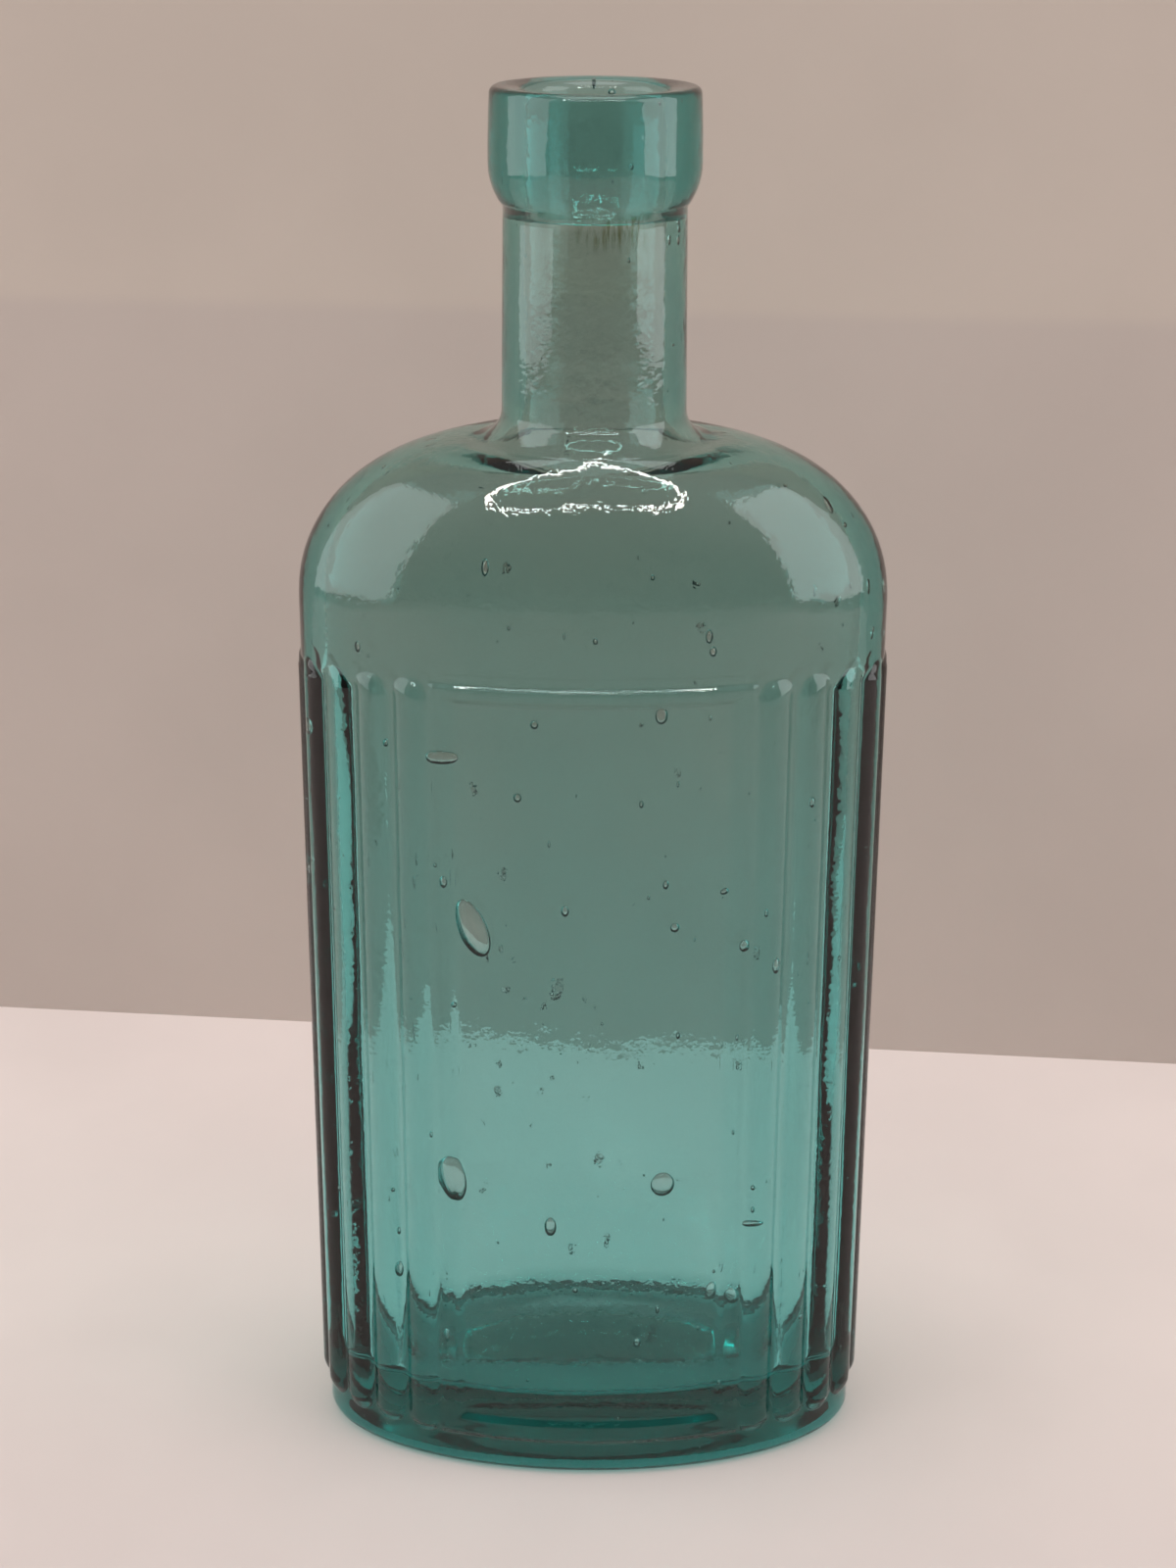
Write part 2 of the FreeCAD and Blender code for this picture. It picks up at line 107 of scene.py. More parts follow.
@dataclass(frozen=True)
class BottleSizes:
    """The bottle's sizes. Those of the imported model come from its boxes, the rest are named here."""

    height: float
    lip_bottom: float
    lip_radius: float
    rib_half_width: float
    heel_radius: float = 2.2 * MM
    foot_width: float = 5.0 * MM
    push_up: float = 3.0 * MM
    half_depth: float = 21.5 * MM
    collar_side_step: float = 0.7 * MM
    collar_front_step: float = 0.15 * MM
    collar_overlap: float = 3.4 * MM
    collar_slope: float = 2.0 * MM
    shoulder_rise: float = 23.2 * MM
    neck_length: float = 32.7 * MM
    neck_root_radius: float = 4.0 * MM
    neck_crease: float = 3.5 * MM
    neck_root: float = 13.25 * MM
    neck_top: float = 12.9 * MM
    lip_foot: float = 13.1 * MM
    lip_under_height: float = 5.6 * MM
    lip_barrel: float = 0.25 * MM
    lip_edge_radius: float = 1.0 * MM
    lip_dish: float = 0.25 * MM
    mouth_radius: float = 1.4 * MM
    bore: float = 9.7 * MM
    front_wall: float = 3.8 * MM
    side_wall: float = 3.4 * MM
    shoulder_wall: float = 3.0 * MM
    inner_root_radius: float = 9.0 * MM
    inner_root_reach: float = 4.0 * MM
    base: float = 12.5 * MM
    floor_radius: float = 2.5 * MM
    floor_swell: float = 3.0 * MM
    rib_height: float = 1.2 * MM
    rib_width: float = 5.8 * MM
    rib_pitch: float = 6.3 * MM
    ribs_each_way: int = 4
    relief_bottom: float = 5.5 * MM
    relief_gap: float = 7.6 * MM
    frame_height: float = 0.6 * MM
    frame_half_width: float = 24.1 * MM
    frame_bar: float = 5.0 * MM
    frame_slope: float = 1.7 * MM
    ledge_sharpness: float = 1.42

    @classmethod
    def from_frame(cls) -> "BottleSizes":
        """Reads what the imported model's boxes give."""
        _, body_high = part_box("bottle_body")
        lip_low, lip_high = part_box("applied_lip")
        return cls(
            height=lip_high.z,
            lip_bottom=lip_low.z,
            lip_radius=lip_high.x,
            rib_half_width=body_high.x,
        )

    @property
    def half_width(self) -> float:
        """Half the width of the wall between the ribs."""
        return self.rib_half_width - self.rib_height

    @property
    def shoulder_top(self) -> float:
        """Height where the shoulder meets the neck's root."""
        return self.lip_bottom - self.neck_length

    @property
    def shoulder_start(self) -> float:
        """Height where the wall begins to round over."""
        return self.shoulder_top - self.shoulder_rise

    @property
    def relief_top(self) -> float:
        """Height where the ribs and the frames end."""
        return self.shoulder_start - self.relief_gap

    def front_sweep(self, climb: float) -> float:
        """Distance of the shoulder's front from the middle plane, at a height above the shoulder's start."""
        face = self.half_depth + self.collar_front_step
        run, rise = face - self.neck_root, self.shoulder_rise + self.neck_crease
        return max(along_arc(face, run, rise, climb), self.neck_root)

    def wall_depth_at(self, x: float) -> float:
        """Distance of the wall from the middle plane at a place along the width."""
        return self.half_depth * math.sqrt(max(1 - (x / self.half_width) ** 2, 0.0))


# Node trees


class Sums:
    """Writes a node tree as sums, one call for each node."""

    def __init__(self, tree: bpy.types.NodeTree) -> None:
        """Args: tree: the tree that gets the nodes."""
        self.tree = tree

    def node(self, kind: str, inputs: dict | None = None, **settings: object) -> bpy.types.Node:
        """Adds a node.

        Args:
            kind: the node's type name.
            inputs: values or sockets for the node's inputs, by name or number.
            settings: the node's own properties.

        Returns:
            The new node.
        """
        made = self.tree.nodes.new(kind)
        for name, value in settings.items():
            setattr(made, name, value)
        for name, value in (inputs or {}).items():
            self.feed(made.inputs[name], value)
        return made

    def feed(self, socket: Socket, value: object) -> None:
        """Links a socket to another one, or sets its value."""
        if isinstance(value, Socket):
            self.tree.links.new(value, socket)
        else:
            socket.default_value = value

    def math(self, operation: str, *values: object) -> Socket:
        """Adds a Math node and gives its result."""
        return self.node("ShaderNodeMath", dict(enumerate(values)), operation=operation).outputs[0]

    plus = partialmethod(math, "ADD")
    minus = partialmethod(math, "SUBTRACT")
    times = partialmethod(math, "MULTIPLY")

    def scaled(self, vector: object, factor: object) -> Socket:
        """Adds a Vector Math node that scales a vector, and gives its vector."""
        inputs = {0: vector, "Scale": factor}
        return self.node("ShaderNodeVectorMath", inputs, operation="SCALE").outputs["Vector"]

    def split(self, vector: object) -> bpy.types.NodeOutputs:
        """Adds a node that takes a vector apart, and gives its outputs X, Y and Z."""
        return self.node("ShaderNodeSeparateXYZ", {0: vector}).outputs

    def noise(self, place: object, scale: object, detail: float) -> Socket:
        """Adds a noise texture and gives its value."""
        inputs = {"Vector": place, "Scale": scale, "Detail": detail}
        return self.node("ShaderNodeTexNoise", inputs).outputs[0]

    def drawn_noise(self, place: object, width: float, length: float, detail: float) -> Socket:
        """Adds a noise that is drawn out upwards, and gives its value."""
        scale = (1 / width, 1 / width, 1 / length)
        drawn = self.node("ShaderNodeMapping", {"Vector": place, "Scale": scale}).outputs[0]
        return self.noise(drawn, 1.0, detail)

    def blend(self, share: object, first: object, second: object) -> Socket:
        """Adds a mix of two colours and gives its colour."""
        inputs = {"Factor": share, MIX_FIRST: first, MIX_SECOND: second}
        return self.node("ShaderNodeMix", inputs, data_type="RGBA").outputs[MIX_RESULT]

    def ramp(
        self, value: object, low: object, high: object, to_low: object = 0.0, to_high: object = 1.0
    ) -> Socket:
        """Adds a smooth step from to_low to to_high while value goes from low to high."""
        inputs = {"Value": value, "From Min": low, "From Max": high, "To Min": to_low, "To Max": to_high}
        return self.node("ShaderNodeMapRange", inputs, interpolation_type="SMOOTHSTEP").outputs["Result"]


def blank_material(name: str) -> tuple[bpy.types.Material, Sums]:
    """Adds a material without nodes, and the sums that write them."""
    made = bpy.data.materials.new(name)
    made.use_nodes = True
    made.node_tree.nodes.clear()
    return made, Sums(made.node_tree)


class SocketKind(Enum):
    """Kinds of named input on a node tree."""

    LENGTH = "NodeSocketFloat"
    COUNT = "NodeSocketInt"
    PLACE = "NodeSocketVector"
    COLOUR = "NodeSocketColor"
    MATERIAL = "NodeSocketMaterial"

    @classmethod
    def of(cls, value: object) -> "SocketKind":
        """The kind of input that a length, a count or a material needs."""
        if isinstance(value, bpy.types.Material):
            return cls.MATERIAL
        return cls.COUNT if isinstance(value, int) else cls.LENGTH


class ShapeTree:
    """A geometry node tree with named inputs, used once as a modifier and then made a plain mesh."""

    def __init__(self, name: str, values: dict[str, object]) -> None:
        """Args: name: the tree's name. values: the value of each named input, Finish among them."""
        self.values = values
        self.tree = bpy.data.node_groups.new(name, "GeometryNodeTree")
        face = self.tree.interface
        face.new_socket("Geometry", in_out="INPUT", socket_type="NodeSocketGeometry")
        for label, value in values.items():
            face.new_socket(label, in_out="INPUT", socket_type=SocketKind.of(value).value)
        face.new_socket("Geometry", in_out="OUTPUT", socket_type="NodeSocketGeometry")
        self.sums = Sums(self.tree)
        self.given = self.tree.nodes.new("NodeGroupInput").outputs

    def attribute(self, name: str) -> Socket:
        """The value that each point holds under a name."""
        made = self.sums.node("GeometryNodeInputNamedAttribute", {"Name": name}, data_type="FLOAT")
        return made.outputs["Attribute"]

    def end(self, geometry: Socket, keep: Socket | None = None) -> None:
        """Realizes and dresses the new geometry, joins what is kept, and ends the tree."""
        real = self.sums.node("GeometryNodeRealizeInstances", {"Geometry": geometry})
        smooth = self.sums.node("GeometryNodeSetShadeSmooth", {"Geometry": real.outputs[0]})
        dressed = self.sums.node(
            "GeometryNodeSetMaterial",
            {"Geometry": smooth.outputs[0], "Material": self.given["Finish"]},
        ).outputs[0]
        if keep is not None:
            join = self.sums.node("GeometryNodeJoinGeometry")
            self.tree.links.new(dressed, join.inputs[0])
            self.tree.links.new(keep, join.inputs[0])
            dressed = join.outputs[0]
        out = self.tree.nodes.new("NodeGroupOutput")
        self.tree.links.new(dressed, out.inputs["Geometry"])

    def apply(self, piece: bpy.types.Object) -> None:
        """Runs the tree on a piece and keeps the result as its plain mesh."""
        modifier = piece.modifiers.new(self.tree.name, "NODES")
        modifier.node_group = self.tree
        for item in self.tree.interface.items_tree:
            if item.in_out == "INPUT" and item.name in self.values:
                modifier[item.identifier] = self.values[item.name]
        graph = bpy.context.evaluated_depsgraph_get()
        shaped = bpy.data.meshes.new_from_object(piece.evaluated_get(graph), depsgraph=graph)
        piece.modifiers.remove(modifier)
        piece.data = shaped


def relief_tree(values: dict[str, object]) -> ShapeTree:
    """Raises ribs and panel frames on the wall, and lets the blown surfaces wander inwards.

    Args:
        values: the values of the named inputs.

    Returns:
        The tree. It reads the attributes seam_arc, front, raised, pressed, wander and wander_in.
    """
    wander_detail = 2.0
    shape = ShapeTree("pressed_relief", values)
    s, given = shape.sums, shape.given
    place = s.node("GeometryNodeInputPosition").outputs[0]
    out = s.node("GeometryNodeInputNormal").outputs[0]
    split = s.split(place)
    across, up = s.math("ABSOLUTE", split["X"]), split["Z"]

    arc, front, raised = (shape.attribute(name) for name in ("seam_arc", "front", "raised"))
    nearest = s.math("ROUND", s.math("DIVIDE", arc, given["Rib Pitch"]))
    nearest = s.math("MINIMUM", nearest, s.times(given["Ribs Each Way"], front))
    aside = s.minus(arc, s.times(nearest, given["Rib Pitch"]))
    half = s.times(given["Rib Width"], 0.5)
    below = s.minus(s.plus(given["Relief Bottom"], half), up)
    above = s.minus(up, s.minus(given["Relief Top"], half))
    beyond = s.math("MAXIMUM", s.math("MAXIMUM", below, above), 0.0)
    off_axis = s.plus(s.times(aside, aside), s.times(beyond, beyond))
    squares = s.plus(s.times(half, half), s.math("POWER", given["Rib Height"], 2.0))
    bar = s.math("DIVIDE", squares, s.times(given["Rib Height"], 2.0))
    left_over = s.math("MAXIMUM", s.minus(s.math("POWER", bar, 2.0), off_axis), 0.0)
    round_top = s.math("SQRT", left_over)
    sunk = s.plus(s.minus(bar, given["Rib Height"]), raised)
    proud = s.minus(round_top, sunk)
    soft_square = s.plus(s.math("POWER", proud, 2.0), s.math("POWER", given["Softness"], 2.0))
    soft = s.math("SQRT", soft_square)
    rib = s.times(s.plus(proud, soft), 0.5)

    inside = s.minus(given["Frame Half Width"], across)
    inside = s.math("MINIMUM", inside, s.minus(up, given["Relief Bottom"]))
    under_ledge = s.times(s.minus(given["Relief Top"], up), given["Ledge Sharpness"])
    inside = s.math("MINIMUM", inside, under_ledge)
    rise = s.ramp(inside, 0.0, given["Frame Slope"])
    fall = s.ramp(inside, s.minus(given["Frame Bar"], given["Frame Slope"]), given["Frame Bar"])
    bar_relief = s.times(s.minus(rise, fall), given["Frame Height"])
    bar_relief = s.minus(s.times(bar_relief, front), raised)

    relief = s.math("MINIMUM", s.math("MAXIMUM", rib, bar_relief), given["Rib Height"])
    relief = s.times(relief, shape.attribute("pressed"))

    noise = s.noise(place, s.math("DIVIDE", 1.0, given["Wander Length"]), wander_detail)
    centred = s.minus(noise, 0.5)
    wander = s.times(s.times(centred, given["Wander"]), shape.attribute("wander"))
    sink = s.times(s.times(noise, given["Wander"]), shape.attribute("wander_in"))
    offset = s.plus(relief, s.minus(wander, sink))
    moved = s.node(
        "GeometryNodeSetPosition",
        {"Geometry": given["Geometry"], "Offset": s.scaled(out, offset)},
    )
    shape.end(moved.outputs[0])
    return shape


def seed_tree(values: dict[str, object]) -> ShapeTree:
    """Scatters seeds, the small drawn bubbles of old glass, inside the wall.

    Args:
        values: the values of the named inputs.

    Returns:
        The tree. It reads the attribute seeded, which is 1 where seeds lie behind the surface.
    """
    shape = ShapeTree("glass_seeds", values)
    s, given = shape.sums, shape.given
    density = s.times(shape.attribute("seeded"), given["Density"])
    spots = s.node(
        "GeometryNodeDistributePointsOnFaces",
        {"Mesh": given["Geometry"], "Density": density, "Seed": given["Random Seed"]},
    )

    def draw(seed: object, least: object = 0.0, most: object = 1.0) -> Socket:
        """A random number for each bubble."""
        inputs = {"Seed": seed, RANDOM_LEAST: least, RANDOM_MOST: most}
        return s.node("FunctionNodeRandomValue", inputs, data_type="FLOAT").outputs[RANDOM_RESULT]

    depth = draw(given["Random Seed"], given["Least Depth"], given["Most Depth"])
    inward = s.scaled(spots.outputs["Normal"], s.times(depth, -1.0))
    sunk = s.node("GeometryNodeSetPosition", {"Geometry": spots.outputs["Points"], "Offset": inward})
    skewed = s.math("POWER", draw(s.plus(given["Random Seed"], 1.0)), given["Rarity"])
    span = s.minus(given["Most Size"], given["Least Size"])
    size = s.plus(given["Least Size"], s.times(skewed, span))
    stretch = s.times(draw(s.plus(given["Random Seed"], 2.0)), given["Stretch"])
    drawn_out = s.plus(stretch, 1.0)
    length = s.times(size, drawn_out)
    scale = s.node(
        "ShaderNodeCombineXYZ", {"X": size, "Y": length, "Z": s.math("MINIMUM", size, given["Least Depth"])}
    )
    flat = s.node("FunctionNodeAlignRotationToVector", {"Vector": spots.outputs["Normal"]}, axis="Z")
    upright = s.node(
        "FunctionNodeAlignRotationToVector",
        {"Rotation": flat.outputs[0], "Vector": (0.0, 0.0, 1.0)},
        axis="Y",
        pivot_axis="Z",
    )
    ball = s.node("GeometryNodeMeshIcoSphere", {"Radius": 0.5, "Subdivisions": 2})
    hollow = s.node("GeometryNodeFlipFaces", {"Mesh": ball.outputs["Mesh"]})
    placed = s.node(
        "GeometryNodeInstanceOnPoints",
        {
            "Points": sunk.outputs[0],
            "Instance": hollow.outputs[0],
            "Rotation": upright.outputs[0],
            "Scale": scale.outputs[0],
        },
    )
    shape.end(placed.outputs[0], keep=given["Geometry"])
    return shape


# Finishes


@dataclass(frozen=True)
class AquaGlass:
    """Old bottle glass, coloured through and through by its iron, with a skin like orange peel."""

    name: str = "aqua_glass"
    ior: float = 1.52
    tint: Colour = (0.13, 0.762, 0.75, 1.0)
    tint_density: float = 211.0
    peel_size: float = 0.85 * MM
    peel_depth: float = 0.017 * MM
    ripple_size: float = 3.4 * MM
    ripple_depth: float = 0.045 * MM
    streak_width: float = 2.2 * MM
    streak_length: float = 60.0 * MM
    streak_depth: float = 0.02 * MM
    streaks_on_body: float = 0.4
    skin_detail: float = 1.0
    streak_detail: float = 2.0
    smooth: float = 0.012
    hazy: float = 0.09
    haze_size: float = 22.0 * MM
    haze_detail: float = 5.0
    haze_from: float = 0.56
    haze_to: float = 0.78
    # Painted shade: base colours that darken and grey the glass more the higher it lies, where it looks onto
    # the shaded wall behind.
    painted_shade_start: float = 6.0 * MM
    painted_shade_middle: float = 50.0 * MM
    painted_shade_end: float = 170.0 * MM
    painted_shade_low: tuple[float, float, float] = (0.94, 0.90, 0.895)
    painted_shade_high: tuple[float, float, float] = (0.98, 0.78, 0.745)
    painted_shade_on_lip: tuple[float, float, float] = (0.94, 0.80, 0.78)
    painted_shade_cloud: float = 40.0 * MM
    painted_shade_lip_edge: float = 2.0 * MM
    stain: Colour = (0.40, 0.27, 0.12, 1.0)
    stain_middle: float = 2.4 * MM
    stain_reach: float = 7.0 * MM
    stain_core_share: float = 0.2
    stain_front_share: float = 0.5
    stain_drop: float = 5.5 * MM
    stain_edge: float = 0.5 * MM
    stroke_width: float = 0.6 * MM
    stroke_length: float = 5.0 * MM
    stroke_from: float = 0.5
    stroke_to: float = 0.66

    def material(self, sizes: BottleSizes) -> bpy.types.Material:
        """Builds the material.

        Args:
            sizes: the bottle's sizes, which say where the drawn neck begins.

        Returns:
            The finished material.
        """
        made, s = blank_material(self.name)
        place = s.node("ShaderNodeTexCoord").outputs["Object"]
        peel = s.noise(place, 1 / self.peel_size, self.skin_detail)
        ripple = s.noise(place, 1 / self.ripple_size, self.skin_detail)
        streak = s.drawn_noise(place, self.streak_width, self.streak_length, self.streak_detail)
        up = s.split(place)["Z"]
        neck_start = sizes.shoulder_top + sizes.neck_length / 4
        neck = s.ramp(up, sizes.shoulder_top, neck_start, self.streaks_on_body, 1.0)
        streak_height = s.times(s.times(streak, self.streak_depth), neck)
        peel_height = s.times(peel, self.peel_depth)
        skin = s.plus(peel_height, s.times(ripple, self.ripple_depth))
        height = s.plus(skin, streak_height)
        bump = s.node("ShaderNodeBump", {"Height": height, "Strength": 1.0, "Distance": 1.0})
        haze = s.noise(place, 1 / self.haze_size, self.haze_detail)
        rough = s.ramp(haze, self.haze_from, self.haze_to, self.smooth, self.hazy)
        stained = self.stain_share(s, place, sizes)
        # The base colour is painted shade, darker and greyer higher up, with the brown stain blended over
        # it.
        shade_tint = s.blend(stained, self.painted_shade_colour(s, up, haze, sizes), self.stain)
        shader = s.node(
            "ShaderNodeBsdfPrincipled",
            {
                "Base Color": shade_tint,
                "Roughness": rough,
                "IOR": self.ior,
                "Transmission Weight": 1.0,
                "Normal": bump.outputs[0],
            },
        )
        inside = s.node("ShaderNodeVolumeAbsorption", {"Color": self.tint, "Density": self.tint_density})
        for_lamps = s.node("ShaderNodeLightPath").outputs["Is Shadow Ray"]
        clear = s.node("ShaderNodeBsdfTransparent")
        passing = s.node("ShaderNodeMixShader", {0: for_lamps, 1: shader.outputs[0], 2: clear.outputs[0]})
        ends = {"Surface": passing.outputs[0], "Volume": inside.outputs[0]}
        s.node("ShaderNodeOutputMaterial", ends)
        return made

    def stain_share(self, s: Sums, place: Socket, sizes: BottleSizes) -> Socket:
        """How much of the brown stain shows: short strokes that run down from under the lip in front.

        Args:
            s: the sums of the material's tree.
            place: the point's place.
            sizes: the bottle's sizes, which say where the lip begins.

        Returns:
            A share from 0 to 1.
        """
        split = s.split(place)
        aside = s.math("ABSOLUTE", s.minus(split["X"], self.stain_middle))
        low, high = sizes.lip_bottom - self.stain_drop, sizes.lip_bottom
        strokes = s.drawn_noise(place, self.stroke_width, self.stroke_length, self.streak_detail)
        share = s.ramp(aside, self.stain_core_share * self.stain_reach, self.stain_reach, 1.0, 0.0)
        for other in (
            s.ramp(split["Y"], -self.stain_front_share * sizes.bore, 0.0, 1.0, 0.0),
            s.ramp(split["Z"], low, low + self.stain_drop / 2),
            s.ramp(split["Z"], high - self.stain_edge, high, 1.0, 0.0),
            s.ramp(strokes, self.stroke_from, self.stroke_to),
        ):
            share = s.times(share, other)
        return share

    def painted_shade_colour(self, s: Sums, up: Socket, haze: Socket, sizes: BottleSizes) -> Socket:
        """Painted shade on the glass: a base colour that darkens and greys it more the higher it lies, where
        it looks onto the shaded wall behind.

        Args:
            s: the sums of the material's tree.
            up: the height of the point.
            haze: clouds between 0 and 1, which make the painted shade uneven.
            sizes: the bottle's sizes, which say where the lip begins.

        Returns:
            The colour, for the shader's base colour.
        """
        cloudy = s.times(s.minus(haze, 0.5), self.painted_shade_cloud)
        place = s.plus(up, cloudy)
        colour: object = (1.0, 1.0, 1.0, 1.0)
        for low, high, shade_tint in (
            (self.painted_shade_start, self.painted_shade_middle, self.painted_shade_low),
            (self.painted_shade_middle, self.painted_shade_end, self.painted_shade_high),
            (sizes.lip_bottom, sizes.lip_bottom + self.painted_shade_lip_edge, self.painted_shade_on_lip),
        ):
            share = s.ramp(up if shade_tint is self.painted_shade_on_lip else place, low, high)
            colour = s.blend(share, colour, (*shade_tint, 1.0))
        return colour


def paper_tone() -> bpy.types.NodeTree:
    """The tone of paper with its painted shade, a node group that is built once and used by every sheet with
    its own values.

    Returns:
        The group. Its tone changes at a fold, as painted shade of the fold; it is a little mottled; and it
        darkens towards the front, as painted shade where less light falls.
    """
    name = "paper_tone"
    if name in bpy.data.node_groups:
        return bpy.data.node_groups[name]
    group = bpy.data.node_groups.new(name, "ShaderNodeTree")
    kinds = {"Place": SocketKind.PLACE, "Colour": SocketKind.COLOUR, "Upper Colour": SocketKind.COLOUR}
    lengths = ("Fold Height", "Fold Blur", "Mottle Scale", "Mottle", "Near Shade", "Near Start", "Near End")
    kinds |= {label: SocketKind.LENGTH for label in lengths}
    for label, kind in kinds.items():
        group.interface.new_socket(label, in_out="INPUT", socket_type=kind.value)
    group.interface.new_socket("Tone", in_out="OUTPUT", socket_type=SocketKind.COLOUR.value)
    mottle_detail, mottle_from, mottle_to = 3.0, 0.3, 0.7
    s = Sums(group)
    given = group.nodes.new("NodeGroupInput").outputs
    split = s.split(given["Place"])
    # Painted shade: the paper darkens towards the front, where less light falls on it.
    near = s.ramp(split["Y"], given["Near End"], given["Near Start"], given["Near Shade"], 1.0)
    # Painted shade of the fold: Colour below the fold, Upper Colour above it.
    fold_start = s.minus(given["Fold Height"], given["Fold Blur"])
    fold_end = s.plus(given["Fold Height"], given["Fold Blur"])
    sheet = s.blend(s.ramp(split["Z"], fold_start, fold_end), given["Colour"], given["Upper Colour"])
    noise = s.noise(given["Place"], given["Mottle Scale"], mottle_detail)
    mottled = s.ramp(noise, mottle_from, mottle_to, s.minus(1.0, given["Mottle"]), 1.0)
    tone = s.scaled(sheet, s.times(mottled, near))
    group.links.new(tone, group.nodes.new("NodeGroupOutput").inputs["Tone"])
    return group


@dataclass(frozen=True)
class PaperFinish:
    """Matt paper of the floor or the backdrop, a little uneven in tone, with painted shade at a fold and
    towards the front, clear from behind.
    """

    name: str
    colour: Colour
    # Colour above the fold; a difference from colour there is painted shade of the fold.
    upper_colour: Colour
    fold_height: float = 155.0 * MM
    fold_blur: float = 2.0 * MM
    mottle_size: float = 60.0 * MM
    mottle: float = 0.05
    # Painted shade: how dark the paper turns towards the front, where less light falls.
    painted_near_shade: float = 1.0
    near_start: float = 40.0 * MM
    near_end: float = -60.0 * MM

    def material(self) -> bpy.types.Material:
        """Builds the material."""
        made, s = blank_material(self.name)
        tone = s.node(
            "ShaderNodeGroup",
            {
                "Place": s.node("ShaderNodeTexCoord").outputs["Object"],
                "Colour": self.colour,
                "Upper Colour": self.upper_colour,
                "Fold Height": self.fold_height,
                "Fold Blur": self.fold_blur,
                "Mottle Scale": 1 / self.mottle_size,
                "Mottle": self.mottle,
                "Near Shade": self.painted_near_shade,
                "Near Start": self.near_start,
                "Near End": self.near_end,
            },
            node_tree=paper_tone(),
        )
        matt = s.node("ShaderNodeBsdfDiffuse", {"Color": tone.outputs["Tone"]})
        clear = s.node("ShaderNodeBsdfTransparent")
        behind = s.node("ShaderNodeNewGeometry").outputs["Backfacing"]
        mix = s.node("ShaderNodeMixShader", {0: behind, 1: matt.outputs[0], 2: clear.outputs[0]})
        s.node("ShaderNodeOutputMaterial", {"Surface": mix.outputs[0]})
        return made


# The glass


@dataclass(frozen=True)
class Ring:
    """A level oval of the skin, and how freely the glass wanders there."""

    half_width: float
    half_depth: float
    height: float
    front_swell: float = 0.0
    back_swell: float = 0.0
    pressed: float = 0.0
    wander: float = 0.0
    wander_in: float = 0.0
    seeded: float = 0.0

    def swell(self, behind: np.ndarray) -> np.ndarray:
        """How far each point has swollen towards the collar. Behind is 1 for points on the back."""
        return self.front_swell + (self.back_swell - self.front_swell) * behind


@dataclass(frozen=True)
class Blister:
    """A large flat bubble in the front wall, placed by its middle."""

    x: float
    z: float
    width: float
    length: float
    tilt: float
    depth: float = 1.5 * MM
    thickness: float = 0.9 * MM


BLISTERS = (
    Blister(-17.6 * MM, 92.7 * MM, 4.6 * MM, 9.4 * MM, 22.0, 1.5 * MM, 1.7 * MM),
    Blister(-21.1 * MM, 51.0 * MM, 4.2 * MM, 7.6 * MM, 10.0, 1.5 * MM, 1.6 * MM),
    Blister(-21.9 * MM, 118.8 * MM, 5.2 * MM, 2.0 * MM, 4.0),
    Blister(11.0 * MM, 51.2 * MM, 3.6 * MM, 4.0 * MM, 0.0),
    Blister(18.9 * MM, 31.9 * MM, 1.9 * MM, 3.0 * MM, -8.0),
    Blister(22.1 * MM, 30.6 * MM, 2.0 * MM, 3.0 * MM, 12.0),
    Blister(-6.1 * MM, 44.1 * MM, 1.8 * MM, 3.2 * MM, 0.0),
    Blister(25.0 * MM, 42.8 * MM, 3.4 * MM, 1.1 * MM, -6.0),
    Blister(19.6 * MM, 98.5 * MM, 1.6 * MM, 1.0 * MM, 14.0),
    Blister(22.5 * MM, 89.6 * MM, 1.4 * MM, 1.9 * MM, 0.0),
    Blister(9.8 * MM, 126.0 * MM, 1.8 * MM, 2.6 * MM, 0.0),
    Blister(-10.8 * MM, 113.5 * MM, 1.2 * MM, 1.4 * MM, 0.0),
)


@dataclass(frozen=True)
class RingCounts:
    """How many rings each stretch of the skin has, in the order of the stretches."""

    foot: int = 12
    stand: int = 3
    heel: int = 7
    plain: int = 3
    lower_edge: int = 18
    panel: int = 24
    ledge: int = 26
    shoulder: int = 26
    root: int = 13
    neck: int = 14
    lip_under: int = 10
    lip_side: int = 7
    lip_edge: int = 6
    lip_top: int = 4
    mouth: int = 7
    bore: int = 9
    inner_root: int = 10
    ceiling: int = 20
    belly: int = 20
    floor_edge: int = 9
    floor: int = 8


